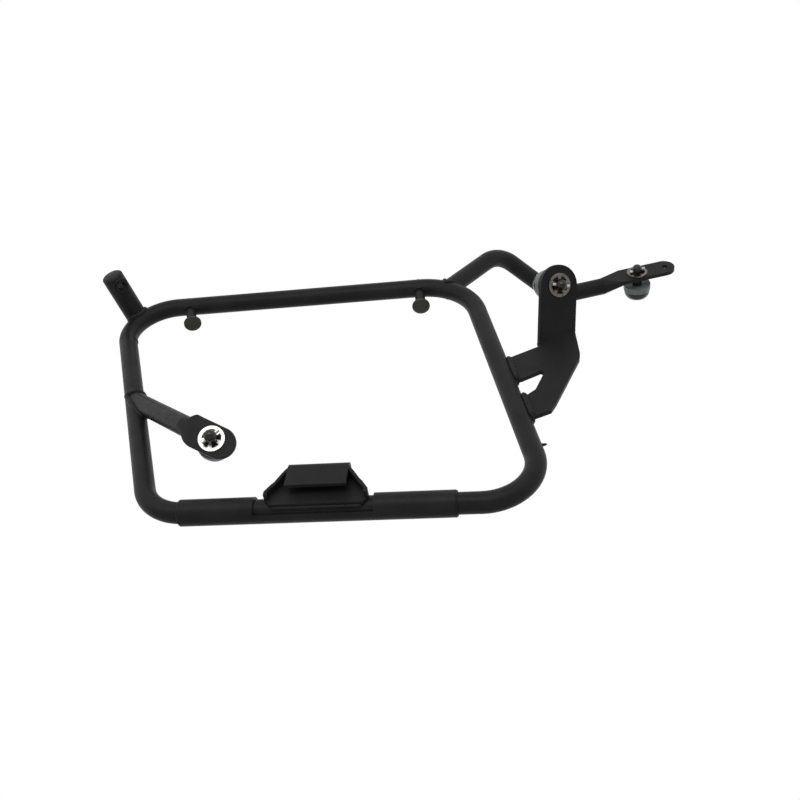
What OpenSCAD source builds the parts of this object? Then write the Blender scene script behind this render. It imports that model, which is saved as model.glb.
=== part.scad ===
// Quick-release side case carrier: one bent tube ring with its arms, case studs, case catch
// and three quick-release fasteners. The ring stands upright, its bike side faces -Y.
// Pieces are drawn with the ring lying flat, bike side up, and are then stood up.

/* [Tube] */
// Outer diameter of the ring and of both arms
tube_d = 18; // [16:0.5:20]
// Wall of every tube
tube_wall = 2; // [1.5:0.25:3]

/* [Ring] */
// Length of the lower rail between its two corners
low_rail = 327.5; // [310:0.5:360]
// Length of the front post between its two corners
front_post = 316; // [300:1:345]
// Length of the rear post between its two corners
rear_post = 316.5; // [300:0.5:345]
// Lean of the front post towards the front, in degrees
front_lean = 19.8; // [14:0.2:24]
// Lean of the rear post towards the front, in degrees
rear_lean = 13.9; // [8:0.1:18]
// Bend radius of the two lower corners
low_bend_r = 42.5; // [30:0.5:50]
// Bend radius of the upper front corner
front_bend_r = 43; // [32:1:50]
// Bend radius of the upper rear corner
rear_bend_r = 60; // [45:1:65]

/* [Rail sleeve] */
// Outer diameter of the sleeve on the lower rail
sleeve_d = 22; // [20.5:0.5:26]
// Length of the sleeve
sleeve_len = 225; // [210:1:235]
// Distance of the sleeve from the lower front corner
sleeve_at = 28.5; // [24:0.5:34]
// Radial fit between sleeve and rail
sleeve_fit = 0.05; // [0.02:0.01:0.1]
// Length of the opening in the sleeve
window_len = 97.5; // [92:0.5:110]
// Angle of the opening's edge behind the rail, in degrees
window_turn = 24; // [10:1:40]
// Place of the opening along the lower rail
catch_at = 140; // [134:1:146]
// Distance of the catch's middle behind that of the opening
catch_shift = 3; // [0:0.5:6]
// Gap between the two ends of the bent ring, inside the sleeve
butt_gap = 1; // [0.5:0.5:3]
// Distance of that gap from the sleeve's rear end
butt_inset = 30; // [15:1:34]

/* [Case catch] */
// Sheet thickness of the catch
catch_t = 3; // [2:0.5:4]
// Width of the catch at the rail
catch_base_w = 84; // [76:1:88]
// Width of the catch's lip
catch_lip_w = 50; // [40:1:56]
// Height of the bend line of the lip above the rail's axis
catch_h = 26; // [22:0.5:32]
// Height of the lip itself
catch_lip_h = 21; // [14:0.5:22]
// Clear gap between back plate and lip
catch_gap = 7; // [5:0.5:9]
// Height of the side walls above the back plate
catch_side_h = 6; // [3:0.5:8]

/* [Case studs] */
// Diameter of a stud's head
stud_head_d = 17.5; // [15:0.5:20]
// Thickness of a stud's head
stud_head_t = 8; // [7.5:0.5:10]
// Diameter of a stud's shank
stud_shank_d = 9.5; // [8:0.5:12]
// Diameter of the tail that goes through the rail
stud_tail_d = 7; // [5:0.5:8]
// Reach of a stud from the rail's axis to the end of its head
stud_reach = 34; // [28:1:40]
// Distance of the front stud from the upper front corner
stud_front_at = 70.5; // [66:0.5:90]
// Distance of the rear stud from the upper rear corner
stud_rear_at = 48.5; // [46:0.5:80]
// Lean of the front stud, in degrees
stud_front_lean = 17; // [0:1:20]
// Lean of the rear stud, in degrees
stud_rear_lean = 6; // [0:1:20]
// Radial fit of the tails in the rail
stud_fit = 0.05; // [0.02:0.01:0.1]

/* [Front stub] */
// Outer diameter of the stub tube
stub_d = 21.3; // [20:0.1:25]
// Reach of the stub from the ring's plane to its end
stub_len = 54; // [44:1:70]
// Lean of the stub towards the front, in degrees
stub_lean = 12.5; // [0:0.5:16]
// Offset of the stub's foot outwards from the bend's centre line
stub_out = 9; // [5:0.5:11]
// Thickness of the cap on the stub's end
cap_t = 2; // [1:0.5:3]
// Distance of the bolt hole from the stub's end
bolt_inset = 10.5; // [10:0.5:22]
// Direction of the bolt hole in the ring's plane, in degrees
bolt_turn = -41; // [-60:1:0]
// Bore of the bush, for an M8 bolt
bolt_bore = 8.4; // [6.4:0.1:10.5]
// Outer diameter of the bush
bush_d = 13; // [11.5:0.5:14]
// How far the bush stands out of the stub on both sides
bush_proud = 1.6; // [0.5:0.1:2]

/* [Flattened ends] */
// Width of the lug arm's flattened end
flat_w = 27; // [25:0.5:32]
// Width of the rear arm's flattened end
strap_w = 23.5; // [22:0.5:28]
// Thickness of a flattened tube end
flat_t = 4; // [3.5:0.25:5]

/* [Lug arm] */
// Place of the lug arm's foot along the front post
lug_at = 158; // [130:1:190]
// Reach of the round tube along the lower rail's direction
lug_dx = 82.4; // [70:0.1:90]
// Drop of the round tube towards the lower rail
lug_du = 85.4; // [70:0.1:95]
// Rise of the round tube to the bike side
lug_dn = 37; // [28:0.1:42]
// Tilt of the lug's face away from the ring's plane, in degrees
lug_tilt = 32; // [20:1:40]
// Direction that the lug's face looks in the ring's plane, in degrees
lug_turn = -73; // [-90:1:-50]
// Reach from the tube's end to the hole, along the lower rail
lug_hole_dx = 24.4; // [22:0.1:32]
// Reach from the tube's end to the hole, towards the lower rail
lug_hole_du = 16.6; // [15:0.1:24]
// Reach from the tube's end to the hole, to the bike side
lug_hole_dn = 0.8; // [-2:0.1:6]
// Length of the flat from the hole to its end
lug_end = 21; // [17:0.5:26]
// Direction of the flat's length in the ring's plane, in degrees
lug_long_turn = -28; // [-45:1:-10]

/* [Rear bracket] */
// Sheet thickness of the bracket
bracket_t = 4; // [3:0.5:5]
// Place of the bracket's foot along the rear post
bracket_at = 96; // [80:1:110]
// Length of the bracket along the rear post
bracket_len = 85; // [78:1:95]
// Width of one leg at the post
bracket_leg = 31; // [26:1:36]
// Angle of the tab to the ring's plane, in degrees
tab_bend = 63; // [45:1:90]
// Width of the tab
tab_w = 37; // [34:1:44]
// Reach of the tab from its fold to its hole
tab_len = 48; // [40:1:60]
// Slant of the tab away from square to its fold, in degrees
tab_slant = 21; // [0:1:25]

/* [Rear arm] */
// Run of the first straight, along the lower rail's direction
arm_run_1 = 50; // [40:0.5:60]
// Rise of the first straight
arm_rise_1 = 73.8; // [60:0.2:85]
// Drop of the first straight to the outer side
arm_drop_1 = 7.5; // [0:0.5:14]
// Run of the second straight
arm_run_2 = 58.7; // [48:0.1:70]
// Rise of the second straight
arm_rise_2 = 14.9; // [5:0.1:30]
// Drop of the second straight to the outer side
arm_drop_2 = 69.5; // [55:0.5:80]
// Length of the last straight with its flattened end
arm_end = 134; // [120:1:150]
// Climb of the last straight, in degrees
arm_climb = 15.4; // [8:0.1:26]
// Bend radius of the rear arm
arm_bend_r = 40; // [30:1:42]
// Round length of the last straight
arm_round = 52; // [45:1:54]
// Length over which the round tube is flattened
arm_taper = 23; // [16:1:24]
// Distance of the fastener from the last bend
arm_pin_at = 92; // [88:1:96]
// Distance of the free hole from the strap's end
arm_hole_inset = 10.5; // [9:0.5:14]
// Bore of the free hole
arm_hole_d = 6.4; // [5.3:0.1:8.4]

/* [Quick-release fasteners] */
// Diameter of a fastener's pin
pin_d = 10.4; // [9:0.2:11]
// Radial running fit of the pin in the plates and discs
pin_fit = 0.05; // [0.02:0.01:0.1]
// Reach of the pin's tip over the plate when it hangs out
pin_tip = 9.9; // [9:0.1:12]
// Height of the cross pin over the plate when it hangs out
cross_h = 3; // [2.9:0.1:4]
// Diameter of the cross pin
cross_d = 3; // [2:0.1:3.2]
// Length of the cross pin
cross_len = 17.4; // [15:0.2:19]
// Radial fit of the cross pin in the pin
cross_fit = 0.02; // [0.01:0.01:0.05]
// Travel of a fastener between hanging out and pushed home
pin_travel = 10; // [7:0.5:12]
// How far the lug's fastener is pushed in at rest
lug_pin_in = 4; // [0:0.5:6]
// Diameter of the two discs
disc_d = 29; // [26:0.5:32]
// Thickness of the upper disc
disc_upper_t = 3; // [2:0.5:4]
// Thickness of the lower disc
disc_lower_t = 2.5; // [2:0.5:4]
// Diameter of the knob
knob_d = 27.5; // [24:0.5:30]
// Height of the knob
knob_h = 10; // [8:0.5:14]
// Diameter of the knob's flat top
knob_top_d = 17; // [12:0.5:20]
// Width of the knob's slot
slot_w = 3; // [2:0.5:4]
// Depth of the knob's slot
slot_deep = 3; // [1:0.5:4]
// Axial clearance between the parts of a fastener
stack_gap = 0.2; // [0.1:0.05:0.5]
// Outer diameter of the star washer
star_d = 22; // [20:0.5:24]
// Inner diameter of the star washer's rim
star_rim_d = 16.4; // [14:0.2:18]
// Thickness of the star washer
star_t = 1.2; // [0.8:0.1:1.2]
// Number of the star washer's teeth
star_teeth = 5; // [4:1:8]
// Width of one tooth
star_tooth_w = 3.2; // [2:0.2:5]
// Gap between the teeth and the pin
star_gap = 0.3; // [0.2:0.05:0.5]

/* [Hidden] */
$fn = 72;
over = 1;

// A straight is thinner than the bend it laps into by this step, and laps in this far
lap = 0.4;
lap_step = 0.05;
// Sides of the round end where a tube goes over into its flattened end
blend_fn = 32;

steel = [0.09, 0.09, 0.10];
zinc = [0.72, 0.71, 0.69];
disc_grey = [0.36, 0.38, 0.38];
knob_black = [0.05, 0.05, 0.05];
stud_olive = [0.16, 0.16, 0.14];

tube_r = tube_d / 2;
flat_x = [1, 0, 0];
flat_n = [0, 0, 1];

// Corners of the ring's centre line, with the ring lying flat
low_front = [0, 0, 0];
low_rear = [low_rail, 0, 0];
up_front = low_front + front_post * [-sin(front_lean), cos(front_lean), 0];
up_rear = low_rear + rear_post * [-sin(rear_lean), cos(rear_lean), 0];

function unit(v) = v / norm(v);
function heading(angle) = [cos(angle), sin(angle), 0];
function facing(tilt, turn) = [sin(tilt) * cos(turn), sin(tilt) * sin(turn), cos(tilt)];
function corner_angle(a, b, c) = acos(unit(a - b) * unit(c - b));
function tangent_run(a, b, c, r) = r / tan(corner_angle(a, b, c) / 2);
function bend_start(a, b, c, r) = b + unit(a - b) * tangent_run(a, b, c, r);
function bend_end(a, b, c, r) = b + unit(c - b) * tangent_run(a, b, c, r);
function bend_centre(a, b, c, r) =
    b + unit(unit(a - b) + unit(c - b)) * r / sin(corner_angle(a, b, c) / 2);

post_dir = unit(up_front - low_front);
rear_dir = unit(up_rear - low_rear);
rail_dir = unit(up_rear - up_front);
rail_up = [-rail_dir.y, rail_dir.x, 0];
rear_out = [rear_dir.y, -rear_dir.x, 0];

// Middle of the upper front bend, and the stub that stands there
bend_mid_dir = unit(unit(low_front - up_front) + unit(up_rear - up_front));
bend_mid = bend_centre(low_front, up_front, up_rear, front_bend_r) - front_bend_r * bend_mid_dir;
stub_foot = bend_mid - stub_out * bend_mid_dir;
stub_dir = [-sin(stub_lean), 0, cos(stub_lean)];
stub_end = stub_foot + stub_len * stub_dir;
bolt_dir = unit(heading(bolt_turn) - (heading(bolt_turn) * stub_dir) * stub_dir);
bolt_at = stub_end - bolt_inset * stub_dir;

// Lug arm
lug_foot = low_front + lug_at * post_dir;
lug_neck = lug_foot + [lug_dx, -lug_du, lug_dn];
lug_face = facing(lug_tilt, lug_turn);
lug_hole = lug_neck + [lug_hole_dx, -lug_hole_du, lug_hole_dn];
lug_long = unit(cross(lug_face, cross(heading(lug_long_turn), lug_face)));

// Rear bracket: a plate in the ring's plane with a folded tab. The fold starts this far
// from the post's axis and from the plate's foot, and climbs at this angle.
fold_reach = 41;
fold_rise = 99;
fold_slope = 17.8;
fold_in = low_rear + (bracket_at + fold_rise) * rear_dir + fold_reach * rear_out;
fold_w = tab_w / cos(tab_slant);
fold_dir = cos(fold_slope) * rear_out + sin(fold_slope) * rear_dir;
fold_out = fold_in + fold_w * fold_dir;
fold_mid = (fold_in + fold_out) / 2;
fold_up = [-fold_dir.y, fold_dir.x, 0];
tab_up = cos(tab_bend) * fold_up + sin(tab_bend) * flat_n;
tab_face = cos(tab_bend) * flat_n - sin(tab_bend) * fold_up;
tab_axis = cos(tab_slant) * tab_up + sin(tab_slant) * fold_dir;
tab_hole = fold_mid + tab_len * tab_axis + bracket_t / 2 * tab_face;

// Rear arm: its foot sits on the upper rear bend, turned this far from the bend's start
arm_foot_turn = 28;
arm_foot = bend_centre(up_front, up_rear, low_rear, rear_bend_r)
    + rear_bend_r * (cos(arm_foot_turn) * rail_up + sin(arm_foot_turn) * rail_dir);
arm_bend_1 = arm_foot + [arm_run_1, arm_rise_1, -arm_drop_1];
arm_bend_2 = arm_bend_1 + [arm_run_2, arm_rise_2, -arm_drop_2];
arm_dir = heading(arm_climb);
strap_inset = 1;
strap_top = tube_r - strap_inset;
arm_pin_hole = arm_bend_2 + arm_pin_at * arm_dir + strap_top * flat_n;

// Places children with their own frame's Z axis along z and X axis near x
module framed(origin, x, z) {
    k = unit(z);
    i = unit(x - (x * k) * k);
    j = cross(k, i);
    multmatrix([
        [i.x, j.x, k.x, origin.x],
        [i.y, j.y, k.y, origin.y],
        [i.z, j.z, k.z, origin.z],
        [0, 0, 0, 1]
    ]) children();
}

// Stands the flat ring upright with the bolt hole's centre at the origin
module upright() {
    rotate([90, 0, 0]) translate(-bolt_at) children();
}

module rod(from, to, d) {
    side = abs(unit(to - from).z) > 0.9 ? flat_x : flat_n;
    framed(from, side, to - from) cylinder(d = d, h = norm(to - from));
}

// One bend of a tube from the straight a-b to the straight b-c
module bend(a, b, c, r, d) {
    centre = bend_centre(a, b, c, r);
    start = bend_start(a, b, c, r) - centre;
    end = bend_end(a, b, c, r) - centre;
    framed(centre, start, cross(start, end))
        rotate_extrude(angle = 180 - corner_angle(a, b, c))
            translate([r, 0]) circle(d = d);
}

// A solid round bar along a line of points, with a bend at each inner one
module bent_bar(p, r, d) {
    last = len(p) - 1;
    for (i = [0 : last - 1]) {
        way = lap * unit(p[i + 1] - p[i]);
        from = i == 0 ? p[0] : bend_end(p[i - 1], p[i], p[i + 1], r[i]) - way;
        to = i == last - 1 ? p[last] : bend_start(p[i], p[i + 1], p[i + 2], r[i + 1]) + way;
        rod(from, to, d - 2 * lap_step);
    }
    for (i = [1 : last - 1]) bend(p[i - 1], p[i], p[i + 1], r[i], d);
}

butt_at = sleeve_at + sleeve_len - butt_inset;
ring_line = [
    [butt_at + butt_gap / 2, 0, 0], low_rear, up_rear, up_front, low_front,
    [butt_at - butt_gap / 2, 0, 0]
];
ring_radii = [0, low_bend_r, rear_bend_r, front_bend_r, low_bend_r, 0];

module ring_bar(d) {
    bent_bar(ring_line, ring_radii, d);
}

module stud_frame_front() {
    at = up_front + stud_front_at * rail_dir;
    framed(at, flat_n, cos(stud_front_lean) * rail_up - sin(stud_front_lean) * rail_dir) children();
}

module stud_frame_rear() {
    at = up_rear - stud_rear_at * rail_dir;
    framed(at, flat_n, cos(stud_rear_lean) * rail_up - sin(stud_rear_lean) * rail_dir) children();
}

module stud_hole() {
    cylinder(d = stud_tail_d + 2 * stud_fit, h = 2 * tube_d, center = true);
}

module ring_tube() {
    color(steel) upright() difference() {
        ring_bar(tube_d);
        ring_bar(tube_d - 2 * tube_wall);
        stud_frame_front() stud_hole();
        stud_frame_rear() stud_hole();
    }
}

// Everything on the bike side of a plane through the rail's axis, along the opening
module window_cut() {
    translate([catch_at, 0, 0])
        rotate([-window_turn, 0, 0])
            translate([-window_len / 2, -sleeve_d, 0])
                cube([window_len, 2 * sleeve_d, sleeve_d]);
}

module rail_sleeve() {
    color(steel) upright() difference() {
        translate([sleeve_at, 0, 0]) rotate([0, 90, 0]) cylinder(d = sleeve_d, h = sleeve_len);
        translate([sleeve_at - over, 0, 0]) rotate([0, 90, 0])
            cylinder(d = tube_d + 2 * sleeve_fit, h = sleeve_len + 2 * over);
        window_cut();
    }
}

// The catch: a back plate on the rail, a lip folded over it and two slanted side walls
catch_foot = 6;
catch_shoulder = 11;
catch_foot_cut = [4, 5];
catch_shoulder_cut = [5, 8];
catch_half = catch_base_w / 2;
lip_half = catch_lip_w / 2;
back_n = tube_r + sleeve_fit;
bend_n = back_n + catch_t + catch_gap / 2;
lip_n = back_n + catch_t + catch_gap;

// Right half of the back plate's outline, and the same moved inwards
function catch_side(inset) = [
    [catch_half - catch_foot_cut.x - inset, -catch_foot],
    [catch_half - inset, catch_foot_cut.y - catch_foot],
    [catch_half - inset, catch_shoulder - catch_shoulder_cut.y],
    [catch_half - catch_shoulder_cut.x - inset, catch_shoulder],
    [lip_half - inset, catch_h]
];
function mirrored(points) = [for (i = [len(points) - 1 : -1 : 0]) [-points[i].x, points[i].y]];

module catch_wall() {
    outer = catch_side(0);
    inner = catch_side(catch_t);
    linear_extrude(catch_t + catch_side_h)
        polygon([outer[1], outer[2], outer[3], outer[4], inner[4], inner[3], inner[2], inner[1]]);
}

module catch_lip() {
    framed([-lip_half, catch_h, bend_n], -flat_n, flat_x)
        rotate_extrude(angle = 180)
            translate([catch_gap / 2, 0]) square([catch_t, catch_lip_w]);
    translate([-lip_half, catch_h - catch_lip_h, lip_n]) cube([catch_lip_w, catch_lip_h, catch_t]);
}

module case_catch() {
    color(steel) upright() translate([catch_at + catch_shift, 0, 0]) {
        translate([0, 0, back_n]) {
            linear_extrude(catch_t) polygon(concat(catch_side(0), mirrored(catch_side(0))));
            catch_wall();
            mirror([1, 0, 0]) catch_wall();
        }
        catch_lip();
    }
}

// A mushroom stud: tail through the rail, shank below it and a domed head at its end
stud_dome = 1.5;
stud_flare = 5.5;
tail_proud = 1;
saddle_gap = 0.2;

module stud(lean) {
    head_r = stud_head_d / 2;
    shank_r = stud_shank_d / 2;
    neck = stud_reach - stud_head_t;
    saddle = sqrt(tube_r * tube_r - shank_r * shank_r);
    difference() {
        rotate_extrude() polygon([
            [0, -stud_reach],
            [head_r - 2 * stud_dome, -stud_reach],
            [head_r - stud_dome / 2, -stud_reach + stud_dome / 2],
            [head_r, -stud_reach + stud_dome],
            [head_r, -stud_reach + stud_head_t - stud_flare],
            [shank_r, -neck],
            [shank_r, -saddle],
            [stud_tail_d / 2, -saddle],
            [stud_tail_d / 2, tube_r + tail_proud],
            [0, tube_r + tail_proud]
        ]);
        rotate([90 - lean, 0, 0]) difference() {
            cylinder(r = tube_r + saddle_gap, h = 3 * stud_head_d, center = true);
            rotate([lean - 90, 0, 0]) cylinder(d = stud_tail_d, h = 2 * tube_d, center = true);
        }
    }
}

module stud_front() {
    color(stud_olive) upright() stud_frame_front() stud(stud_front_lean);
}

module stud_rear() {
    color(stud_olive) upright() stud_frame_rear() stud(stud_rear_lean);
}

// The front stub: a short tube at the ring's corner that stands out to the bike side
stub_solid = 10;
stub_sink = 4;

module bolt_cut(d) {
    rod(bolt_at - stub_d * bolt_dir, bolt_at + stub_d * bolt_dir, d);
}

module front_stub() {
    color(steel) upright() difference() {
        rod(stub_foot - stub_sink * stub_dir, stub_end - cap_t * stub_dir, stub_d);
        rod(stub_foot + stub_solid * stub_dir, stub_end + over * stub_dir, stub_d - 2 * tube_wall);
        bend(low_front, up_front, up_rear, front_bend_r, tube_d);
        bolt_cut(bush_d + 2 * cross_fit);
    }
}

module stub_cap() {
    color(steel) upright() rod(stub_end - cap_t * stub_dir, stub_end, stub_d);
}

module front_bush() {
    half = stub_d / 2 + bush_proud;
    color(steel) upright() difference() {
        rod(bolt_at - half * bolt_dir, bolt_at + half * bolt_dir, bush_d);
        bolt_cut(bolt_bore);
    }
}

// A thin slice of the round tube and a thin slice of its flattened end, joined smoothly
slice = 0.4;

module flattening(round_at, round_dir, flat_at, flat_dir, face, w) {
    around = tube_d / cos(180 / blend_fn) + 2 * lap_step;
    thick = flat_t + 2 * lap_step;
    wide = w + 2 * lap_step;
    hull() {
        framed(round_at, face, round_dir) cylinder(d = around, h = slice, center = true, $fn = blend_fn);
        framed(flat_at, face, flat_dir)
            translate([-flat_t - lap_step, -wide / 2, 0]) cube([thick, wide, slice]);
    }
}

// A flattened end with its face at the origin, its length along X and a full round at its tip
module flat_end(from, to, w) {
    difference() {
        union() {
            translate([from, -w / 2, -flat_t]) cube([to - from - w / 2, w, flat_t]);
            translate([to - w / 2, 0, -flat_t]) cylinder(d = w, h = flat_t);
        }
        translate([0, 0, -flat_t - over]) cylinder(d = pin_d + 2 * pin_fit, h = flat_t + 2 * over);
    }
}

// Length of the lug's flat on the arm's side of its hole
lug_flat_start = 20;

module lug_arm() {
    run = unit(lug_neck - lug_foot);
    flat_start = lug_hole - lug_flat_start * lug_long;
    color(steel) upright() difference() {
        union() {
            rod(lug_foot, lug_neck, tube_d);
            flattening(lug_neck, run, flat_start, lug_long, lug_face, flat_w);
            framed(lug_hole, lug_long, lug_face) flat_end(-lug_flat_start, lug_end, flat_w);
        }
        rod(lug_foot - run, lug_neck - 2 * tube_wall * run, tube_d - 2 * tube_wall);
        rod(low_front, up_front, tube_d);
    }
}

// The bracket's plate, drawn as reach from the post's axis and rise along the post.
// Each list of points is moved to the height that it is measured from.
bracket_foot_d = 4;
plate_low_edge = [[27.5, 5], [34, 13], [70, 65.6], [72.7, 73]];
plate_shoulder = [39.7, 9.5];
window_low_edge = [[0, 0], [14, 0.5], [22, 5]];
window_high_edge = [[35.4, 2.5], [32.6, 5.3], [14, 0], [0, 0]];

function raised(points, rise) = [for (q = points) q + [0, rise]];

module bracket_plate() {
    top = bracket_at + bracket_len;
    fold = [fold_reach, bracket_at + fold_rise];
    fold_run = fold_w * [cos(fold_slope), sin(fold_slope)];
    translate([0, 0, -bracket_t / 2]) linear_extrude(bracket_t) difference() {
        polygon(concat(
            [[bracket_foot_d, bracket_at]],
            raised(plate_low_edge, bracket_at),
            [fold + fold_run, fold],
            raised([plate_shoulder, [bracket_foot_d, 0]], top)
        ));
        polygon(concat(
            raised(window_low_edge, bracket_at + bracket_leg),
            raised(window_high_edge, top - bracket_leg)
        ));
    }
}

module bracket_tab() {
    along = [sin(tab_slant), cos(tab_slant)];
    across = [cos(tab_slant), -sin(tab_slant)];
    hole = tab_len * along;
    difference() {
        union() {
            translate([0, 0, -bracket_t / 2]) {
                linear_extrude(bracket_t) polygon([
                    [-fold_w / 2, 0], [fold_w / 2, 0],
                    hole + tab_w / 2 * across, hole - tab_w / 2 * across
                ]);
                translate(hole) cylinder(d = tab_w, h = bracket_t);
            }
            translate([-fold_w / 2, 0, 0]) rotate([0, 90, 0])
                cylinder(d = bracket_t + 2 * lap_step, h = fold_w);
        }
        translate([hole.x, hole.y, -bracket_t]) cylinder(d = pin_d + 2 * pin_fit, h = 2 * bracket_t);
    }
}

module rear_bracket() {
    color(steel) upright() difference() {
        union() {
            framed(low_rear, rear_out, flat_n) bracket_plate();
            framed(fold_mid, fold_dir, tab_face) bracket_tab();
        }
        rod(low_rear, up_rear, tube_d);
    }
}

module rear_arm() {
    round_end = arm_bend_2 + arm_round * arm_dir;
    strap_start = arm_pin_hole - (arm_pin_at - arm_round - arm_taper) * arm_dir;
    line = [arm_foot, arm_bend_1, arm_bend_2, round_end];
    hollow = [
        arm_foot - 2 * unit(arm_bend_1 - arm_foot), arm_bend_1, arm_bend_2,
        round_end - 2 * tube_wall * arm_dir
    ];
    radii = [0, arm_bend_r, arm_bend_r, 0];
    color(steel) upright() difference() {
        union() {
            bent_bar(line, radii, tube_d);
            flattening(round_end, arm_dir, strap_start, arm_dir, flat_n, strap_w);
            framed(arm_pin_hole, arm_dir, flat_n)
                flat_end(-(arm_pin_at - arm_round - arm_taper), arm_end - arm_pin_at, strap_w);
        }
        bent_bar(hollow, radii, tube_d - 2 * tube_wall);
        bend(up_front, up_rear, low_rear, rear_bend_r, tube_d);
        framed(arm_pin_hole + (arm_end - arm_hole_inset - arm_pin_at) * arm_dir, arm_dir, flat_n)
            translate([0, 0, -flat_t - over]) cylinder(d = arm_hole_d, h = flat_t + 2 * over);
    }
}

// A fastener is drawn from the bike-side face of its plate, its pin along Z.
// Each level below is where a part begins when the pin is pushed in by "in".
knob_rim = 3;
knob_seat = 5;
knob_steps = 8;

function upper_disc_top(plate, in) = in - plate - pin_travel - stack_gap;
function lower_disc_top(plate, in) = upper_disc_top(plate, in) - disc_upper_t - stack_gap;
function knob_level(plate, in) = lower_disc_top(plate, in) - disc_lower_t - stack_gap;

module star_washer() {
    rim_r = star_rim_d / 2;
    difference() {
        cylinder(d = star_d, h = star_t);
        translate([0, 0, -over]) difference() {
            cylinder(d = star_rim_d, h = star_t + 2 * over);
            for (i = [0 : star_teeth - 1]) rotate([0, 0, i * 360 / star_teeth])
                translate([0, -star_tooth_w / 2, -over]) cube([rim_r + 1, star_tooth_w, star_t + 4 * over]);
        }
        translate([0, 0, -over]) cylinder(d = pin_d + 2 * star_gap, h = star_t + 2 * over);
    }
}

module disc(top, t) {
    translate([0, 0, top - t]) difference() {
        cylinder(d = disc_d, h = t);
        translate([0, 0, -over]) cylinder(d = pin_d + 2 * pin_fit, h = t + 2 * over);
    }
}

module fastener_pin(plate, in, turn) {
    foot = knob_level(plate, in) - knob_seat;
    shoulder = pin_tip + in - pin_d / 2;
    difference() {
        union() {
            translate([0, 0, foot]) cylinder(d = pin_d, h = shoulder - foot);
            translate([0, 0, shoulder]) sphere(d = pin_d);
        }
        cross_place(in, turn) cylinder(d = cross_d + 2 * cross_fit, h = 2 * pin_d, center = true);
    }
}

module cross_place(in, turn) {
    translate([0, 0, cross_h + in]) rotate([0, 0, turn]) rotate([0, 90, 0]) children();
}

module cross_pin(in, turn) {
    cross_place(in, turn) cylinder(d = cross_d, h = cross_len, center = true);
}

module knob(plate, in, turn) {
    r = knob_d / 2;
    top_r = knob_top_d / 2;
    dome_h = knob_h - knob_rim;
    step = 90 / knob_steps;
    dome = [for (i = [0 : knob_steps])
        [top_r + (r - top_r) * cos(i * step), -knob_rim - dome_h * sin(i * step)]];
    translate([0, 0, knob_level(plate, in)]) difference() {
        rotate_extrude() polygon(concat([[0, 0], [r, 0]], dome, [[0, -knob_h]]));
        translate([0, 0, -knob_seat]) cylinder(d = pin_d + 2 * cross_fit, h = knob_seat + over);
        rotate([0, 0, turn]) translate([-knob_d, -slot_w / 2, -knob_h - over])
            cube([2 * knob_d, slot_w, slot_deep + over]);
    }
}

// Rest turn of each cross pin in its plate, in degrees
lug_turn_rest = 65;
tab_turn_rest = -26;
arm_turn_rest = 6;

module at_lug() {
    upright() framed(lug_hole, lug_long, lug_face) children();
}

module at_tab() {
    upright() framed(tab_hole, fold_dir, tab_face) children();
}

module at_arm() {
    upright() framed(arm_pin_hole, arm_dir, flat_n) children();
}

module lug_star_washer() { color(zinc) at_lug() star_washer(); }
module lug_disc_upper() { color(disc_grey) at_lug() disc(upper_disc_top(flat_t, lug_pin_in), disc_upper_t); }
module lug_disc_lower() { color(disc_grey) at_lug() disc(lower_disc_top(flat_t, lug_pin_in), disc_lower_t); }
module lug_pin() { color(knob_black) at_lug() fastener_pin(flat_t, lug_pin_in, lug_turn_rest); }
module lug_cross_pin() { color(zinc) at_lug() cross_pin(lug_pin_in, lug_turn_rest); }
module lug_knob() { color(knob_black) at_lug() knob(flat_t, lug_pin_in, lug_turn_rest); }

module tab_star_washer() { color(zinc) at_tab() star_washer(); }
module tab_disc_upper() { color(disc_grey) at_tab() disc(upper_disc_top(bracket_t, 0), disc_upper_t); }
module tab_disc_lower() { color(disc_grey) at_tab() disc(lower_disc_top(bracket_t, 0), disc_lower_t); }
module tab_pin() { color(knob_black) at_tab() fastener_pin(bracket_t, 0, tab_turn_rest); }
module tab_cross_pin() { color(zinc) at_tab() cross_pin(0, tab_turn_rest); }
module tab_knob() { color(knob_black) at_tab() knob(bracket_t, 0, tab_turn_rest); }

module arm_star_washer() { color(zinc) at_arm() star_washer(); }
module arm_disc_upper() { color(disc_grey) at_arm() disc(upper_disc_top(flat_t, 0), disc_upper_t); }
module arm_disc_lower() { color(disc_grey) at_arm() disc(lower_disc_top(flat_t, 0), disc_lower_t); }
module arm_pin() { color(knob_black) at_arm() fastener_pin(flat_t, 0, arm_turn_rest); }
module arm_cross_pin() { color(zinc) at_arm() cross_pin(0, arm_turn_rest); }
module arm_knob() { color(knob_black) at_arm() knob(flat_t, 0, arm_turn_rest); }

ring_tube();
rail_sleeve();
case_catch();
stud_front();
stud_rear();
front_stub();
stub_cap();
front_bush();
lug_arm();
rear_bracket();
rear_arm();
lug_star_washer();
lug_disc_upper();
lug_disc_lower();
lug_pin();
lug_cross_pin();
lug_knob();
tab_star_washer();
tab_disc_upper();
tab_disc_lower();
tab_pin();
tab_cross_pin();
tab_knob();
arm_star_washer();
arm_disc_upper();
arm_disc_lower();
arm_pin();
arm_cross_pin();
arm_knob();
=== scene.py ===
import math

import bpy
import bmesh
from mathutils import Matrix, Vector, noise


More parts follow.
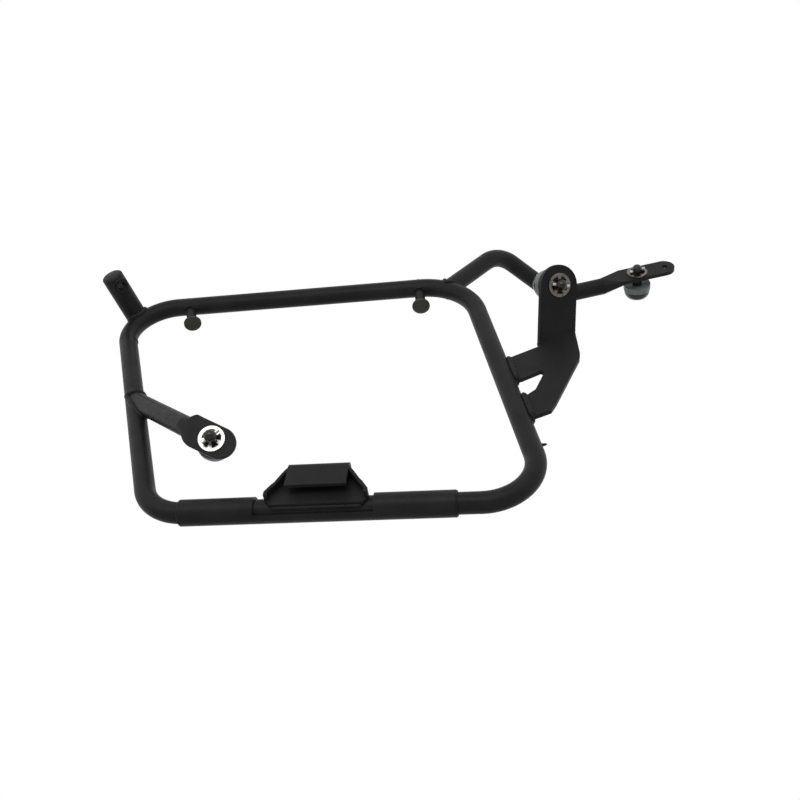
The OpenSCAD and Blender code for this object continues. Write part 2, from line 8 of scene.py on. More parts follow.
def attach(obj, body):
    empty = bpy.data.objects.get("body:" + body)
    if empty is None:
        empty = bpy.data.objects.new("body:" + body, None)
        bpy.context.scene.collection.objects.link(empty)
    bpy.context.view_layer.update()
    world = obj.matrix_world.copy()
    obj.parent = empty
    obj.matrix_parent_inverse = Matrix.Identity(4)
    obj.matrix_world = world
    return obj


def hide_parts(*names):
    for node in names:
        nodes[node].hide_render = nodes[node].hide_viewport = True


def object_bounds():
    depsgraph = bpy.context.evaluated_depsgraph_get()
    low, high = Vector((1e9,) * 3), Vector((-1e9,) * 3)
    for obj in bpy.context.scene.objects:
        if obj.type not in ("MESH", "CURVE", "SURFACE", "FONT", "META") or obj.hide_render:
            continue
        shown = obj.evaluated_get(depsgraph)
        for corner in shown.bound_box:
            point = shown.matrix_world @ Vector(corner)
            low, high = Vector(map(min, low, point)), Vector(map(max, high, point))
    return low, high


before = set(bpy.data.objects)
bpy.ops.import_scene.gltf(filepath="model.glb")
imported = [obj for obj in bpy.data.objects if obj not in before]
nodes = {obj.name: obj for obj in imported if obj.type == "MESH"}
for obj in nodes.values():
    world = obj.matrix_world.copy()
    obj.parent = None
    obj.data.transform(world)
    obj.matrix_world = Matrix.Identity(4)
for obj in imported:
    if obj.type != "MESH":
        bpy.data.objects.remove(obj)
cad_box = [list(v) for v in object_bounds()]


# The part's own frame
# Lengths are in millimetres with the ring lying flat, as in the part's source: x runs to the rear along the
# lower rail, u towards the upper rail and n towards the motorcycle. Angles are in degrees.

LOW_RAIL, FRONT_POST, REAR_POST = 327.5, 316.0, 316.5
FRONT_LEAN, REAR_LEAN = 19.8, 13.9
FRONT_BEND_R, REAR_BEND_R = 43.0, 60.0
TUBE_R, SHEET = 9.0, 4.0
STUB_R, STUB_OUT, STUB_LENGTH, STUB_LEAN = 10.65, 9.0, 54.0, 12.5
BOLT_INSET, BOLT_TURN = 10.5, -41
LUG_ARM_UP, LUG_NECK_REACH, LUG_HOLE_REACH = 158.0, Vector((82.4, -85.4, 37.0)), Vector((24.4, -16.6, 0.8))
REAR_ARM_TURN, REAR_ARM_REACH = 28, Vector((50.0, 73.8, -7.5))
SLEEVE_AT, SLEEVE_LENGTH = 28.5, 225.0
CATCH_AT = 143.0
BRACKET_UP, BRACKET_SPAN, BRACKET_LEG = 96.0, 85.0, 31.0
STUD_FRONT_IN, STUD_FRONT_LEAN = 70.5, 17
STUD_REAR_IN, STUD_REAR_LEAN = 48.5, 6
FASTENERS = ("lug", "tab", "arm")


def lean(length, degrees):
    a = math.radians(degrees)
    return Vector((-math.sin(a) * length, math.cos(a) * length, 0))


def heading(degrees):
    a = math.radians(degrees)
    return Vector((math.cos(a), math.sin(a), 0))


def bend_centre(a, b, c, r):
    """The centre of a bend of radius r that rounds the corner at b between a and c."""
    one, two = (a - b).normalized(), (c - b).normalized()
    half = one.angle(two) / 2
    return b + (one + two).normalized() * (r / math.sin(half))


X, N = Vector((1, 0, 0)), Vector((0, 0, 1))
low_front = Vector((0, 0, 0))
low_rear = Vector((LOW_RAIL, 0, 0))
up_front = low_front + lean(FRONT_POST, FRONT_LEAN)
up_rear = low_rear + lean(REAR_POST, REAR_LEAN)
post_dir = (up_front - low_front).normalized()
post_in = Vector((post_dir.y, -post_dir.x, 0))
rear_dir = (up_rear - low_rear).normalized()
rear_out = Vector((rear_dir.y, -rear_dir.x, 0))
rail_dir = (up_rear - up_front).normalized()
rail_up = Vector((-rail_dir.y, rail_dir.x, 0))
front_centre = bend_centre(low_front, up_front, up_rear, FRONT_BEND_R)
rear_centre = bend_centre(up_front, up_rear, low_rear, REAR_BEND_R)

bend_in = ((low_front - up_front).normalized() + (up_rear - up_front).normalized()).normalized()
stub_foot = front_centre - FRONT_BEND_R * bend_in - STUB_OUT * bend_in
stub_dir = Vector((-math.sin(math.radians(STUB_LEAN)), 0, math.cos(math.radians(STUB_LEAN))))
bolt_at = stub_foot + STUB_LENGTH * stub_dir - BOLT_INSET * stub_dir
bolt_turn = heading(BOLT_TURN)
bolt_dir = (bolt_turn - bolt_turn.dot(stub_dir) * stub_dir).normalized()

lug_foot = low_front + LUG_ARM_UP * post_dir
lug_neck = lug_foot + LUG_NECK_REACH
lug_hole = lug_neck + LUG_HOLE_REACH
arm_turn = math.radians(REAR_ARM_TURN)
arm_foot = rear_centre + REAR_BEND_R * (math.cos(arm_turn) * rail_up + math.sin(arm_turn) * rail_dir)


def stand(p):
    """A point of the flat drawing in the upright frame, in metres from the front bolt."""
    return Vector((p.x - bolt_at.x, bolt_at.z - p.z, p.y - bolt_at.y)) / 1000.0


# Shader nodes

def new_material(name):
    material = bpy.data.materials.new(name)
    material.use_nodes = True
    tree = material.node_tree
    tree.nodes.clear()
    out = tree.nodes.new("ShaderNodeOutputMaterial")
    shader = tree.nodes.new("ShaderNodeBsdfPrincipled")
    tree.links.new(shader.outputs["BSDF"], out.inputs["Surface"])
    place = tree.nodes.new("ShaderNodeTexCoord")
    return material, tree, shader, place


def noise_node(tree, place, scale, detail=4.0, rough=0.55):
    node = tree.nodes.new("ShaderNodeTexNoise")
    node.inputs["Scale"].default_value = scale
    node.inputs["Detail"].default_value = detail
    node.inputs["Roughness"].default_value = rough
    tree.links.new(place.outputs["Object"], node.inputs["Vector"])
    return node.outputs["Fac"]


def ramp_node(tree, source, stops):
    node = tree.nodes.new("ShaderNodeValToRGB")
    elements = node.color_ramp.elements
    while len(elements) > 1:
        elements.remove(elements[-1])
    first_at, first_colour = stops[0]
    elements[0].position, elements[0].color = first_at, (*first_colour, 1)
    for at, colour in stops[1:]:
        elements.new(at).color = (*colour, 1)
    tree.links.new(source, node.inputs["Fac"])
    return node.outputs["Color"]


def range_node(tree, source, low, high, from_low=0.3, from_high=0.7):
    node = tree.nodes.new("ShaderNodeMapRange")
    node.inputs["From Min"].default_value = from_low
    node.inputs["From Max"].default_value = from_high
    node.inputs["To Min"].default_value = low
    node.inputs["To Max"].default_value = high
    tree.links.new(source, node.inputs["Value"])
    return node.outputs["Result"]


def bump_node(tree, height, strength, distance, before=None):
    node = tree.nodes.new("ShaderNodeBump")
    node.inputs["Strength"].default_value = strength
    node.inputs["Distance"].default_value = distance
    tree.links.new(height, node.inputs["Height"])
    if before:
        tree.links.new(before, node.inputs["Normal"])
    return node.outputs["Normal"]


def fleck_node(tree, place, colour, fleck):
    """Small pale flecks over a colour, where a fine noise is at its highest."""
    fleck_scale, most, starts, full = 900.0, 0.55, 0.66, 0.80
    mask = range_node(tree, noise_node(tree, place, fleck_scale, 3.0, 0.7), 0.0, most, starts, full)
    mix = tree.nodes.new("ShaderNodeMix")
    mix.data_type = "RGBA"
    tree.links.new(mask, mix.inputs["Factor"])
    tree.links.new(colour, mix.inputs["A"])
    mix.inputs["B"].default_value = (*fleck, 1)
    return mix.outputs["Result"]


# Materials: noise scales are per metre, bump distances are in metres

def coating(name, dark, light, rough, spec, grain=1400.0, strength=0.35, coat=0.0, fleck=None):
    """A sprayed or plated coat: mottled colour, uneven gloss, orange peel and a fine grain."""
    cloud_scale, scuff_scale, peel_scale = 34.0, 95.0, 260.0
    peel_depth, grain_depth, coat_rough = 0.00025, 0.00006, 0.12
    material, tree, shader, place = new_material(name)
    colour = ramp_node(tree, noise_node(tree, place, cloud_scale, 5.0), [(0.30, dark), (0.72, light)])
    if fleck:
        colour = fleck_node(tree, place, colour, fleck)
    gloss = range_node(tree, noise_node(tree, place, scuff_scale, 6.0, 0.7), *rough)
    peel = bump_node(tree, noise_node(tree, place, peel_scale, 2.0, 0.5), strength, peel_depth)
    relief = bump_node(tree, noise_node(tree, place, grain, 2.0, 0.6), strength, grain_depth, peel)
    tree.links.new(colour, shader.inputs["Base Color"])
    tree.links.new(gloss, shader.inputs["Roughness"])
    tree.links.new(relief, shader.inputs["Normal"])
    shader.inputs["Specular IOR Level"].default_value = spec
    shader.inputs["Coat Weight"].default_value = coat
    shader.inputs["Coat Roughness"].default_value = coat_rough
    return material


def plating(name, dark, light, rough):
    """Plated metal: cloudy plating with brighter spots, and fine scratches that change the gloss."""
    cloud_scale, scratch_scale, scratch_depth, scratch_strength = 420.0, 1500.0, 0.00008, 0.25
    bright = tuple(min(1, part * 1.12) for part in light)
    material, tree, shader, place = new_material(name)
    cloud = noise_node(tree, place, cloud_scale, 5.0, 0.6)
    scratch = noise_node(tree, place, scratch_scale, 4.0, 0.75)
    colour = ramp_node(tree, cloud, [(0.28, dark), (0.55, light), (0.85, bright)])
    tree.links.new(colour, shader.inputs["Base Color"])
    tree.links.new(range_node(tree, scratch, *rough), shader.inputs["Roughness"])
    tree.links.new(bump_node(tree, scratch, scratch_strength, scratch_depth), shader.inputs["Normal"])
    shader.inputs["Metallic"].default_value = 1.0
    return material


black = coating("satin_black_coat", (0.0085, 0.0087, 0.0097), (0.0145, 0.0148, 0.0160), (0.38, 0.52),
                spec=0.13, fleck=(0.024, 0.024, 0.025))
weld_black = coating("satin_black_weld", (0.0085, 0.0086, 0.0093), (0.0145, 0.0147, 0.0155), (0.38, 0.54),
                     spec=0.15, grain=900.0, strength=0.5, fleck=(0.024, 0.024, 0.024))
olive = coating("olive_stud", (0.018, 0.0172, 0.0125), (0.040, 0.0385, 0.030), (0.34, 0.50), spec=0.3,
                strength=0.4)
disc_grey = coating("grey_disc", (0.085, 0.098, 0.095), (0.165, 0.185, 0.18), (0.36, 0.55), spec=0.4,
                    strength=0.3)
pin_black = coating("black_pin", (0.006, 0.006, 0.006), (0.011, 0.011, 0.011), (0.20, 0.34), spec=0.35,
                    strength=0.2, coat=0.15)
knob_black = coating("black_knob", (0.005, 0.005, 0.0055), (0.009, 0.009, 0.0095), (0.16, 0.28), spec=0.4,
                     strength=0.15, coat=0.3)
zinc = plating("zinc_plate", (0.42, 0.41, 0.38), (0.66, 0.635, 0.595), (0.22, 0.42))
# A darker copy of the zinc plating: painted shade and a darker painted reflection, for washers that face away
# from the light
zinc_shade = plating("zinc_plate_shade", (0.10, 0.088, 0.078), (0.24, 0.215, 0.195), (0.22, 0.42))


# The CAD nodes get their materials, and the sheet metal's cut edges are broken by a small round

STUDS = ("stud_front", "stud_rear")
FASTENER_FINISH = {"star_washer": zinc, "cross_pin": zinc, "disc_upper": disc_grey, "disc_lower": disc_grey,
                   "pin": pin_black, "knob": knob_black}
# These washers take the darker zinc copy, as painted shade
PAINTED_SHADE_WASHERS = ("tab_star_washer", "arm_star_washer")
EDGE_ROUNDS = {"rear_bracket": 0.0006, "case_catch": 0.0006, "rear_arm": 0.0005, "rail_sleeve": 0.0004}
SHARPEST_ROUNDED = 38


def finish_of(name):
    if name in PAINTED_SHADE_WASHERS:
        return zinc_shade
    if name in STUDS:
        return olive
    fastener, _, piece = name.partition("_")
    return FASTENER_FINISH.get(piece, black) if fastener in FASTENERS else black


for name, node in nodes.items():
    node.data.materials.clear()
    node.data.materials.append(finish_of(name))

for name, width in EDGE_ROUNDS.items():
    edge = nodes[name].modifiers.new("edge", "BEVEL")
    edge.width = width
    edge.segments = 2
    edge.limit_method = "ANGLE"
    edge.angle_limit = math.radians(SHARPEST_ROUNDED)
    edge.use_clamp_overlap = True
    edge.harden_normals = True


# Meshes

def around(count, shift=0.0):
    """Angles of count equal steps round a full turn."""
    return [2 * math.pi * (j + shift) / count for j in range(count)]


def cross_axes(axis):
    """The axis as a unit vector, and two more square to it and to each other."""
    k = axis.normalized()
    a = k.orthogonal().normalized()
    return k, a, k.cross(a)


def skin(rows, count, first=0, closed=False):
    """Faces between rows of count points each; closed joins the last row to the first."""
    faces = []
    for i in range(rows if closed else rows - 1):
        low, high = first + i * count, first + (i + 1) % rows * count
        for j in range(count):
            m = (j + 1) % count
            faces.append((low + j, low + m, high + m, high + j))
    return faces


def make(name, verts, faces, material, smooth=True):
    """A piece of the coated carrier, with its faces turned outwards."""
    mesh = bpy.data.meshes.new(name)
    mesh.from_pydata([tuple(v) for v in verts], [], faces)
    bm = bmesh.new()
    bm.from_mesh(mesh)
    bmesh.ops.recalc_face_normals(bm, faces=bm.faces)
    bm.to_mesh(mesh)
    bm.free()
    for face in mesh.polygons:
        face.use_smooth = smooth
    mesh.materials.append(material)
    piece = bpy.data.objects.new(name, mesh)
    bpy.context.scene.collection.objects.link(piece)
    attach(piece, "carrier")
    return piece


def resample(points, step, closed):
    """The same run in equal steps of about the given length, and its whole length."""
    fewest = 8
    points = list(points) + ([points[0]] if closed else [])
    run = [0.0]
    for a, b in zip(points, points[1:]):
        run.append(run[-1] + (b - a).length)
    count = max(fewest, int(round(run[-1] / step)))
    out, i = [], 0
    for k in range(count if closed else count + 1):
        s = run[-1] * k / count
        while i < len(run) - 2 and run[i + 1] < s:
            i += 1
        span = run[i + 1] - run[i]
        f = (s - run[i]) / span if span > 1e-9 else 0.0
        out.append(points[i].lerp(points[i + 1], f))
    return out, run[-1]


def bead(name, points, radius, closed=False, pitch=2.6, seed=0.0):
    """A weld bead along flat-frame points: overlapping ripples, uneven in width, drawn out at open ends."""
    step, sides = 0.32, 12
    neck, uneven, uneven_scale, uneven_row = 0.88, 0.10, 0.25, 1.7
    end_run, end_least = 1.3, 0.02
    points, length = resample(points, step, closed)
    count = len(points)
    ripples = max(1, round(length / pitch))
    verts = []
    for k, p in enumerate(points):
        before = points[(k - 1) % count] if closed or k > 0 else points[0]
        after = points[(k + 1) % count] if closed or k < count - 1 else points[-1]
        along = (after - before).normalized()
        side = along.cross(N)
        if side.length < 1e-4:
            side = along.cross(X)
        side.normalize()
        top = side.cross(along).normalized()
        s = length * k / count
        phase = (s / length * ripples) % 1.0
        swell = neck + (1 - neck) * math.sqrt(max(0.0, 1.0 - (2 * phase - 1) ** 2))
        wobble = 1.0 + uneven * noise.noise(Vector((s * uneven_scale, seed, uneven_row)))
        r = radius * swell * wobble
        if not closed:
            end = min(s, length * (count - 1) / count - s) / (radius * end_run)
            r *= math.sqrt(max(end_least, min(1.0, end)))
        verts += [stand(p + side * (r * math.cos(q)) + top * (r * math.sin(q))) for q in around(sides)]
    faces = skin(count, sides, closed=closed)
    if not closed:
        faces.append(tuple(reversed(range(sides))))
        faces.append(tuple(range((count - 1) * sides, count * sides)))
    return make(name, verts, faces, weld_black)


def dome(name, at, axis, radius, height, rough=0.06, seed=0.0):
    """A low round heap of weld or rivet: rings of a flattened dome, lightly uneven."""
    k, a, b = cross_axes(axis)
    rings, count = 9, 28
    uneven_scale, ring_shift = 2, 0.3
    verts = [stand(at + k * height)]
    for i in range(1, rings + 1):
        q = math.pi / 2 * i / rings
        for w in around(count):
            spot = Vector((uneven_scale * math.cos(w), uneven_scale * math.sin(w), seed + i * ring_shift))
            u = 1 + rough * noise.noise(spot)
            r, h = radius * math.sin(q) * u, height * math.cos(q) * u
            verts.append(stand(at + (a * math.cos(w) + b * math.sin(w)) * r + k * h))
    faces = [(0, 1 + j, 1 + (j + 1) % count) for j in range(count)] + skin(rings, count, first=1)
    faces.append(tuple(1 + (rings - 1) * count + j for j in range(count)))
    make(name, verts, faces, weld_black)


def lathe(name, at, axis, profile, material, count=72):
    """A turned piece: (radius, distance along the axis) pairs in millimetres, a point where radius is 0."""
    k, a, b = cross_axes(axis)
    verts, rows, faces = [], [], []
    for r, h in profile:
        row = [stand(at + (a * math.cos(w) + b * math.sin(w)) * r + k * h) for w in around(count if r else 1)]
        rows.append(range(len(verts), len(verts) + len(row)))
        verts += row
    for low, high in zip(rows, rows[1:]):
        for j in range(count):
            m = (j + 1) % count
            if len(low) == 1:
                faces.append((low[0], high[m], high[j]))
            elif len(high) == 1:
                faces.append((low[j], low[m], high[0]))
            else:
                faces.append((low[j], low[m], high[m], high[j]))
    return make(name, verts, faces, material)


# Where a round tube meets its host, and the weld round it

def line_host(a, direction, r):
    """How far a point is outside a straight tube through a."""
    d = direction.normalized()

    def out(p):
        w = p - a
        return (w - d * w.dot(d)).length - r
    return out


def ring_host(centre, big, r):
    """How far a point is outside a bend of the ring."""
    def out(p):
        w = p - centre
        return math.hypot(math.hypot(w.x, w.y) - big, w.z) - r
    return out


def last_inside(start, along, host):
    """The furthest point on a line that touches the host, first in steps, then by halving the last step."""
    reach, back, step, halvings = 34.0, -12.0, 0.5, 24
    s = reach
    while s > back:
        if host(start + along * s) <= 0:
            low, high = s, s + step
            for _ in range(halvings):
                middle = (low + high) / 2
                if host(start + along * middle) <= 0:
                    low = middle
                else:
                    high = middle
            return start + along * high
        s -= step
    return None


def meet(foot, direction, radius, host):
    """The curve where a round tube meets its host, as runs of flat-frame points, and whether it is closed."""
    count, grow = 120, 0.25
    k, a, b = cross_axes(direction)
    runs, run, hits = [], [], []
    for q in around(count):
        out = a * math.cos(q) + b * math.sin(q)
        hit = last_inside(foot + out * radius, k, host)
        hits.append(hit is not None)
        if hits[-1]:
            run.append(hit + out * grow)
        elif run:
            runs.append(run)
            run = []
    if run:
        runs.append(run)
    if len(runs) > 1 and hits[0] and hits[-1]:
        runs = [runs[-1] + runs[0]] + runs[1:-1]
    return runs, all(hits)


def weld(name, foot, direction, radius, host, bead_r, seed):
    """Weld round a tube's foot: one closed bead, or one for each run that is long enough to be seen."""
    fewest = 6
    runs, closed = meet(foot, direction, radius, host)
    for i, run in enumerate(runs):
        if len(run) >= fewest:
            bead(name if i == 0 else "%s_%d" % (name, i + 1), run, bead_r, closed=closed, seed=seed)


weld("weld_stub_foot", stub_foot, stub_dir, STUB_R, ring_host(front_centre, FRONT_BEND_R, TUBE_R),
     bead_r=2.6, seed=1.0)
weld("weld_lug_foot", lug_foot, lug_neck - lug_foot, TUBE_R, line_host(low_front, post_dir, TUBE_R),
     bead_r=2.5, seed=2.0)
weld("weld_arm_foot", arm_foot, REAR_ARM_REACH, TUBE_R, ring_host(rear_centre, REAR_BEND_R, TUBE_R),
     bead_r=1.9, seed=3.0)

# The bush is welded into the stub on both sides
BUSH_R = 6.9
for tag, way in (("bike", 1), ("outer", -1)):
    weld("weld_bush_" + tag, bolt_at, bolt_dir * way, BUSH_R, line_host(stub_foot, stub_dir, STUB_R),
         bead_r=1.25, seed=6.0 + way)


def weld_bracket():
    """Both legs of the bracket are welded to the rear post, on both faces."""
    steps, radius, clear, face_at = 24, 3.1, 0.9, 3.9
    out = math.sqrt(TUBE_R ** 2 - (SHEET / 2) ** 2) + clear
    top = BRACKET_UP + BRACKET_SPAN
    legs = ((BRACKET_UP, BRACKET_UP + BRACKET_LEG), (top - BRACKET_LEG, top))
    for leg, (low, high) in enumerate(legs):
        for face, side in (("bike", 1), ("outer", -1)):
            edge = low_rear + rear_out * out + N * (side * face_at)
            points = [edge + rear_dir * (low + (high - low) * k / steps) for k in range(-1, steps + 2)]
            bead("weld_bracket_%d_%s" % (leg + 1, face), points, radius, seed=4.0 + leg + side)


def weld_sleeve():
    """A thin run of weld closes the step from each end of the sleeve to the rail."""
    radius, out, past = 1.0, 9.6, 0.3
    for tag, x, way in (("front", SLEEVE_AT, -1), ("rear", SLEEVE_AT + SLEEVE_LENGTH, 1)):
        points = [Vector((x + way * past, out * math.cos(q), out * math.sin(q))) for q in around(90)]
        bead("weld_sleeve_" + tag, points, radius, closed=True, pitch=2.2, seed=12.0 + way)


weld_bracket()
weld_sleeve()


# The catch

def weld_catch():
    """The catch's back plate is welded to the rail along its lower edge and behind its upper half."""
    steps, radius, n = 40, 1.5, 8.2
    for tag, u, half in (("low", -6.4, 37.0), ("high", 5.6, 39.0)):
        points = [Vector((CATCH_AT - half + 2 * half * k / steps, u, n)) for k in range(steps + 1)]
        bead("weld_catch_" + tag, points, radius, seed=9.0 + u)


def catch_wing(tag, way):
    """Each side wall of the catch rises towards the lip and closes its corner."""
    low, high = Vector((38.0, 9.0, 0)), Vector((25.3, 25.6, 0))
    thick, base, shoulder, rise, round_off = 2.8, 17.0, 18.0, 4.0, 0.4
    steps, swell = 14, 1.6
    run = (high - low).normalized()
    inward = Vector((-run.y, run.x, 0)) * thick
    verts = []
    for i in range(steps + 1):
        f = i / steps
        top = shoulder + rise * math.sin(math.pi / 2 * f) ** swell
        at = low.lerp(high, f)
        for foot, n in ((at, base), (at, top - round_off),
                        (at + inward * 0.15, top), (at + inward * 0.85, top),
                        (at + inward, top - round_off), (at + inward, base)):
            verts.append(stand(Vector((CATCH_AT + way * foot.x, foot.y, n))))
    sides = len(verts) // (steps + 1)
    faces = skin(steps + 1, sides)
    faces.append(tuple(range(sides)))
    faces.append(tuple(steps * sides + j for j in range(sides)))
    make("catch_wing_" + tag, verts, faces, black, smooth=False)


weld_catch()
catch_wing("rear", 1)
catch_wing("front", -1)


# The studs

def dress_stud(tag, at, angle, seed):
    """A stud's tail headed over on the rail, the coat on its shank, and the weld where the shank starts."""
    tail_at, tail_r, tail_height = 8.7, 5.2, 2.0
    collar_at, collar_in, collar_out = 7.6, 4.6, 6.6
    shank_coat = [(4.6, 8.0), (5.05, 8.2), (5.0, 16.0), (5.0, 25.6), (4.85, 26.3), (4.6, 26.4)]
    tilt = math.radians(angle)
    up = (-math.sin(tilt) * rail_dir + math.cos(tilt) * rail_up).normalized()
    dome("rivet_head_" + tag, at + up * tail_at, up, tail_r, tail_height, seed=seed)
    lathe("stud_shank_coat_" + tag, at, -up, shank_coat, black)
    k, a, b = cross_axes(-up)
    collar = [at + (a * math.cos(w) + b * math.sin(w)) * ((collar_in + collar_out) / 2) + k * collar_at
              for w in around(60)]
    bead("stud_collar_" + tag, collar, (collar_out - collar_in) / 2, closed=True, pitch=2.0, seed=collar_in)


dress_stud("front", up_front + rail_dir * STUD_FRONT_IN, STUD_FRONT_LEAN, 1.0)
dress_stud("rear", up_rear - rail_dir * STUD_REAR_IN, STUD_REAR_LEAN, 2.0)


# The stub's end cap

def stub_end_cap():
    """The cap is pressed with a rounded rim and a slight crown."""
    rim_in, rim_at, rim_height, crown_height = 4.0, 52.2, 2.8, 0.6
    crown_r, crown_at = STUB_R - rim_in, rim_at + rim_height
    back = [(0, 51.0), (9.0, 51.0), (STUB_R, 51.2)]
    quarter = [math.pi / 2 * i / 10 for i in range(11)]
    rim = [(STUB_R - rim_in * (1 - math.cos(q)), rim_at + rim_height * math.sin(q)) for q in quarter]
    crown = [(crown_r * (1 - i / 6), crown_at + crown_height * (1 - (1 - i / 6) ** 2)) for i in range(1, 7)]
    return lathe("stub_end_cap", stub_foot, stub_dir, back + rim + crown, black)


cap = stub_end_cap()
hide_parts("stub_cap")


# A heap of weld on the front post's inner side, and a small nub that the coating left on the rear post

HEAP_UP, HEAP_IN, NUB_UP = 255.5, 8.4, 63.0
NUB = [(0, 8.0), (1.9, 8.2), (1.4, 9.6), (1.1, 11.6), (0.7, 12.8), (0, 13.4)]

dome("weld_heap_post", low_front + post_dir * HEAP_UP + post_in * HEAP_IN, post_in, radius=3.2, height=1.4,
     rough=0.15, seed=3.0)
lathe("coat_nub", low_rear + rear_dir * NUB_UP, rear_out, NUB, weld_black, count=16)


# The lug arm: a tube drawn out into a flat that holds the fastener's pin

FLAT_TILT, FLAT_WAY, FLAT_HEADING = 32, -73, -28
FLAT_HALF, FLAT_T, FLAT_BACK, FLAT_TIP, FLAT_EDGE = 13.5, 4.0, 15.0, 21.0, 0.6
FLAT_LAP = 2.0
PIN_HOLE_R = 5.25


def ease(x):
    """0 to 1 without a corner at either end."""
    x = max(0.0, min(1.0, x))
    return x * x * (3 - 2 * x)


def section(w, h, power, count):
    """A closed outline between an ellipse (power 2) and a slab with small rounds (a high power)."""
    out = []
    for q in around(count, 0.5):
        c, d = math.cos(q), math.sin(q)
        k = (abs(c) ** power + abs(d) ** power) ** (-1.0 / power)
        out.append((w * c * k, h * d * k))
    return out


def pressed_tube(name, path, across, size):
    """A tube along path; size(p) gives its half width, sideways shift, half thickness and power at p."""
    verts, count, last = [], 64, len(path) - 1
    for i, p in enumerate(path):
        along = (path[min(i + 1, last)] - path[max(i - 1, 0)]).normalized()
        side = (across - along * across.dot(along)).normalized()
        thick = along.cross(side)
        half, shift, thin, power = size(p)
        for x, y in section(half, thin, power, count):
            verts.append(stand(p + side * (x + shift) + thick * y))
    faces = skin(len(path), count)
    faces.append(tuple(reversed(range(count))))
    faces.append(tuple(range(last * count, len(path) * count)))
    return make(name, verts, faces, black)


def flat_outline(inset, count):
    """The flat's edge round its bore: square at the back, straight sides and a full round at the tip."""
    far, centre, half = 200.0, FLAT_TIP - FLAT_HALF, FLAT_HALF - inset
    out = []
    for q in around(count, 0.5):
        c, d = math.cos(q), math.sin(q)
        r = far
        if c < 0:
            r = min(r, FLAT_BACK / -c)
        if abs(d) > 1e-9:
            r = min(r, half / abs(d))
        if r * c > centre:
            m = centre * c
            r = m + math.sqrt(max(0.0, m * m - centre * centre + half ** 2))
        out.append((r * c, r * d))
    return out


def pressed_flat(name, hole, along, face):
    """The flattened end with its bore, and every edge broken."""
    count, soft = 160, FLAT_EDGE * 0.3
    side = face.cross(along)

    def bore(wider):
        r = PIN_HOLE_R + wider
        return [(r * math.cos(q), r * math.sin(q)) for q in around(count, 0.5)]

    def outline(inset):
        return flat_outline(inset, count)

    loops = [(bore(0), -FLAT_EDGE), (bore(soft), -soft), (bore(FLAT_EDGE), 0),
             (outline(FLAT_EDGE), 0), (outline(soft), -soft), (outline(0), -FLAT_EDGE),
             (outline(0), FLAT_EDGE - FLAT_T), (outline(soft), soft - FLAT_T), (outline(FLAT_EDGE), -FLAT_T),
             (bore(FLAT_EDGE), -FLAT_T), (bore(soft), soft - FLAT_T), (bore(0), FLAT_EDGE - FLAT_T)]
    upper_face, lower_face = 2, 8
    verts = [stand(hole + along * x + side * y + face * z) for points, z in loops for x, y in points]
    piece = make(name, verts, skin(len(loops), count, closed=True), black)
    for row in (upper_face, lower_face):
        for j in range(count):
            piece.data.polygons[row * count + j].use_smooth = False
    return piece


def lug_arm():
    """The arm runs straight from the front post, then bends and flattens into the plate."""
    straight_end, straight_steps, bend_steps = 5.0, 30, 48
    tilt, way = math.radians(FLAT_TILT), math.radians(FLAT_WAY)
    face = Vector((math.sin(tilt) * math.cos(way), math.sin(tilt) * math.sin(way), math.cos(tilt)))
    along = face.cross(heading(FLAT_HEADING).cross(face)).normalized()
    run = (lug_neck - lug_foot).normalized()
    start = lug_neck - run * straight_end
    end = lug_hole - face * (FLAT_T / 2) - along * (FLAT_BACK - FLAT_LAP)
    handle = (end - start).length / 3
    path = [lug_foot.lerp(start, i / straight_steps) for i in range(straight_steps)]
    for q in [i / bend_steps for i in range(bend_steps + 1)]:
        path.append(start * (1 - q) ** 3 + (start + run * handle) * (3 * q * (1 - q) ** 2)
                    + (end - along * handle) * (3 * q * q * (1 - q)) + end * q ** 3)

    def size(p):
        """Wider on one side sooner than on the other, and thinner as the plate's bore comes near."""
        upper_from, upper_run, lower_from, lower_run, thin_from, thin_run = 30.5, 9.0, 27.0, 13.0, 35.0, 20.0
        inside, inside_flat, oval, slab = 0.05, 0.02, 2.0, 12.0
        left = (end - p).length + FLAT_BACK - FLAT_LAP
        gain = FLAT_HALF - inside - TUBE_R
        upper = gain * ease((upper_from - left) / upper_run)
        lower = gain * ease((lower_from - left) / lower_run)
        thin = ease((thin_from - left) / thin_run)
        half_thick = TUBE_R + (FLAT_T / 2 - inside_flat - TUBE_R) * thin
        return TUBE_R + (upper + lower) / 2, (upper - lower) / 2, half_thick, oval + (slab - oval) * thin ** 3

    tube = pressed_tube("lug_arm_tube", path, face.cross(along), size)
    return tube, pressed_flat("lug_arm_flat", lug_hole, along, face)


arm, plate_piece = lug_arm()
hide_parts("lug_arm")
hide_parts("lug_arm")


# The stage: floor, world and two soft lamps, in metres and watts

KEY_FROM, KEY_SIZE, KEY_POWER = Vector((-0.05, -1.45, -0.30)), (1.2, 0.8), 7.2
FILL_FROM, FILL_SIZE, FILL_POWER = Vector((-1.0, -0.9, -0.3)), (0.8, 0.8), 1.5


def any_ray(tree, *kinds):
    """1 for a ray of any of these kinds, or else 0."""
    path = tree.nodes.new("ShaderNodeLightPath")
    value = path.outputs[kinds[0]]
    for kind in kinds[1:]:
        either = tree.nodes.new("ShaderNodeMath")
        either.operation = "MAXIMUM"
        tree.links.new(value, either.inputs[0])
        tree.links.new(path.outputs[kind], either.inputs[1])
        value = either.outputs[0]
    return value


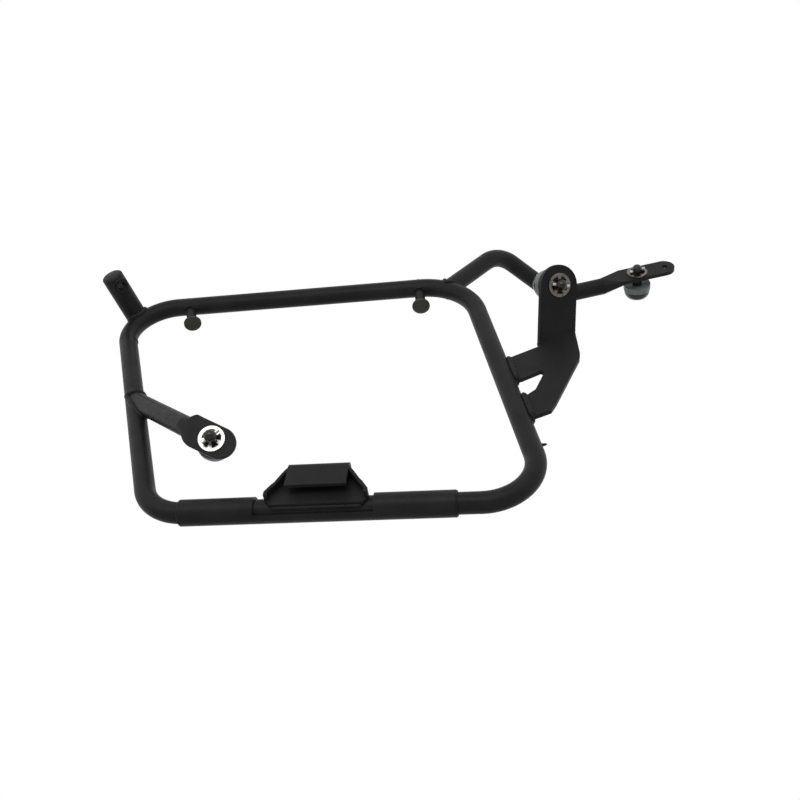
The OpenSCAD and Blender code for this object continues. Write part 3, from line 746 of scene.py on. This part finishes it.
def floor_material():
    """A pale matt floor that the camera sees a little lifted towards white."""
    cloud_scale, rough, lifted = 3.0, 0.8, 0.42
    material, tree, shader, place = new_material("pale_floor")
    grain = noise_node(tree, place, cloud_scale)
    tone = ramp_node(tree, grain, [(0.3, (0.86, 0.86, 0.86)), (0.7, (0.90, 0.90, 0.90))])
    lift = tree.nodes.new("ShaderNodeMath")
    lift.operation = "MULTIPLY"
    lift.inputs[1].default_value = lifted
    tree.links.new(any_ray(tree, "Is Camera Ray"), lift.inputs[0])
    tree.links.new(lift.outputs[0], shader.inputs["Emission Strength"])
    tree.links.new(tone, shader.inputs["Base Color"])
    shader.inputs["Emission Color"].default_value = (1, 1, 1, 1)
    shader.inputs["Roughness"].default_value = rough
    return material


def studio_floor():
    half, z = 7.0, -1.45
    mesh = bpy.data.meshes.new("studio_floor")
    corners = [(-half, -half, z), (half, -half, z), (half, half, z), (-half, half, z)]
    mesh.from_pydata(corners, [], [(0, 1, 2, 3)])
    mesh.materials.append(floor_material())
    piece = bpy.data.objects.new("studio_floor", mesh)
    bpy.context.scene.collection.objects.link(piece)
    return piece


def studio_world():
    """White where the camera, gloss or glass sees it, and a plain level as light."""
    light_level, seen_level = 0.6, 1.0
    world = bpy.data.worlds.new("studio")
    bpy.context.scene.world = world
    world.use_nodes = True
    tree = world.node_tree
    tree.nodes.clear()
    out = tree.nodes.new("ShaderNodeOutputWorld")
    mix = tree.nodes.new("ShaderNodeMixShader")
    for socket, level in ((1, light_level), (2, seen_level)):
        background = tree.nodes.new("ShaderNodeBackground")
        background.inputs["Color"].default_value = (1, 1, 1, 1)
        background.inputs["Strength"].default_value = level
        tree.links.new(background.outputs[0], mix.inputs[socket])
    seen = any_ray(tree, "Is Camera Ray", "Is Glossy Ray", "Is Transmission Ray")
    tree.links.new(seen, mix.inputs["Fac"])
    tree.links.new(mix.outputs[0], out.inputs["Surface"])


def soft_light(name, at, towards, size, power):
    data = bpy.data.lights.new(name, "AREA")
    data.shape = "RECTANGLE"
    data.size, data.size_y = size
    data.energy = power
    lamp = bpy.data.objects.new(name, data)
    lamp.location = at
    lamp.rotation_mode = "QUATERNION"
    lamp.rotation_quaternion = (towards - at).to_track_quat("-Z", "Y")
    bpy.context.scene.collection.objects.link(lamp)


floor = studio_floor()
studio_world()
middle = (Vector(cad_box[0]) + Vector(cad_box[1])) / 2
soft_light("key", middle + KEY_FROM, middle, KEY_SIZE, KEY_POWER)
soft_light("fill", middle + FILL_FROM, middle, FILL_SIZE, FILL_POWER)


# The camera stands where the photograph was taken from, worked out from the ring's own lines

CAMERA_AT = Vector((334.27, -580.35, 586.51))
CAMERA_HEADING, CAMERA_RISE, CAMERA_ROLL = 103.083, 49.725, 7.184
FOCAL_PX, PHOTO_PX, SENSOR_MM = 1054.0866, 800.0, 36.0


def photo_camera():
    rise = math.radians(CAMERA_RISE)
    away = heading(CAMERA_HEADING) * math.cos(rise) + N * math.sin(rise)
    level = away.to_track_quat("-Z", "Y").to_matrix()
    turned = level @ Matrix.Rotation(math.radians(CAMERA_ROLL), 3, "Z")
    data = bpy.data.cameras.new("camera")
    data.sensor_width = SENSOR_MM
    data.lens = FOCAL_PX / PHOTO_PX * SENSOR_MM
    data.clip_start, data.clip_end = 0.02, 60.0
    camera = bpy.data.objects.new("camera", data)
    camera.matrix_world = Matrix.Translation(stand(CAMERA_AT)) @ turned.to_4x4()
    bpy.context.scene.collection.objects.link(camera)
    return camera


bpy.context.scene.camera = photo_camera()
bpy.context.scene.view_settings.view_transform = "Standard"
